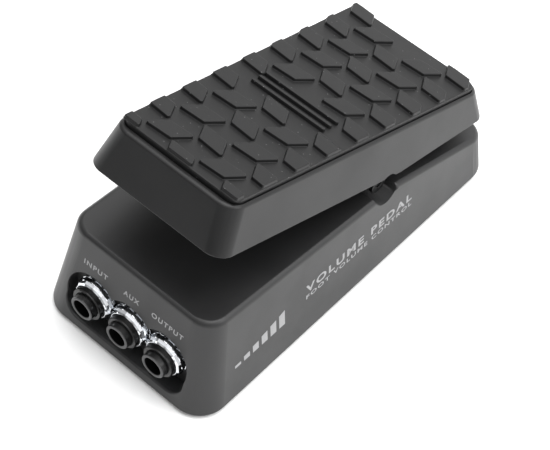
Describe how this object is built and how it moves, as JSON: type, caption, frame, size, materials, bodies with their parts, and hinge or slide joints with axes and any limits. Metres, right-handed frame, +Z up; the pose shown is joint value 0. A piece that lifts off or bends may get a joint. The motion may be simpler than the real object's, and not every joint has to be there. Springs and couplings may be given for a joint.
{
  "type": "volume pedal",
  "caption": "Compact rocking volume pedal with a drafted cast base, ribbed rubber treadle, three toe-end jacks and an internal band drive.",
  "frame": {"origin": "centre of the footprint on the floor", "axes": "+Z up, toe end with the jacks faces -Y, heel faces +Y, +X to the right seen from the heel"},
  "size_m": [0.0696, 0.151, 0.0824],
  "materials": {
    "base_coat": "fine satin grey powder coat",
    "treadle_coat": "fine satin grey powder coat",
    "plate_steel": "black painted sheet",
    "black_screw": "black oxide",
    "foot_rubber": "matte",
    "bumper_rubber": "matte",
    "pad_rubber": "satin moulded",
    "bushing_plastic": "self-lubricating",
    "axle_steel": "ground",
    "sector_alloy": "machined",
    "band_steel": "spring strip",
    "clamp_steel": "zinc plated",
    "zinc_screw": "zinc plated",
    "drum_brass": "turned",
    "pot_metal": "plated can",
    "nut_chrome": "bright nickel",
    "ferrule_plastic": "satin moulded nose ring",
    "jack_plastic": "moulded",
    "board_laminate": "solder mask",
    "chip_plastic": "moulded",
    "slider_plastic": "moulded"
  },
  "bodies": {
    "base": {"base_housing": "base_coat", "bottom_plate": "plate_steel", "plate_screws": "black_screw", "rubber_feet": "foot_rubber", "axle_bushing_left": "bushing_plastic", "axle_bushing_right": "bushing_plastic", "pot_body": "pot_metal", "pot_nut": "nut_chrome", "pot_bracket": "clamp_steel", "bracket_screws": "zinc_screw", "input_jack": "jack_plastic", "aux_jack": "jack_plastic", "output_jack": "jack_plastic", "input_ferrule": "ferrule_plastic", "aux_ferrule": "ferrule_plastic", "output_ferrule": "ferrule_plastic", "jack_washers": "nut_chrome", "jack_nuts": "nut_chrome", "circuit_board": "board_laminate", "board_components": "chip_plastic", "mode_switch": "zinc_screw"},
    "treadle": {"treadle_shell": "treadle_coat", "tread_pad": "pad_rubber", "toe_bumpers": "bumper_rubber", "heel_bumpers": "bumper_rubber", "pivot_axle": "axle_steel", "axle_screws": "black_screw", "drive_sector": "sector_alloy", "sector_set_screw": "black_screw", "drive_band": "band_steel", "band_clamps": "clamp_steel"},
    "pot_rotor": {"pot_drum": "drum_brass", "drum_tyre": "bumper_rubber", "pot_shaft": "axle_steel"},
    "slider": {"mode_slider": "slider_plastic"}
  },
  "joints": [
    {"name": "treadle_rock", "type": "hinge", "parent": "base", "child": "treadle", "pos_m": [0, 0.0148, 0.0342], "axis": [1, 0, 0], "range_deg": [0, 17]},
    {"name": "pot_turn", "type": "hinge", "parent": "base", "child": "pot_rotor", "pos_m": [0, -0.03078, 0.01761], "axis": [1, 0, 0], "range_deg": [-114, 0]},
    {"name": "mode_slide", "type": "slide", "parent": "base", "child": "slider", "axis": [1, 0, 0], "range_m": [0, 0.0026]}
  ],
  "couplings": [
    {"joint": "pot_turn", "follows": "treadle_rock", "ratio": -6.64}
  ]
}
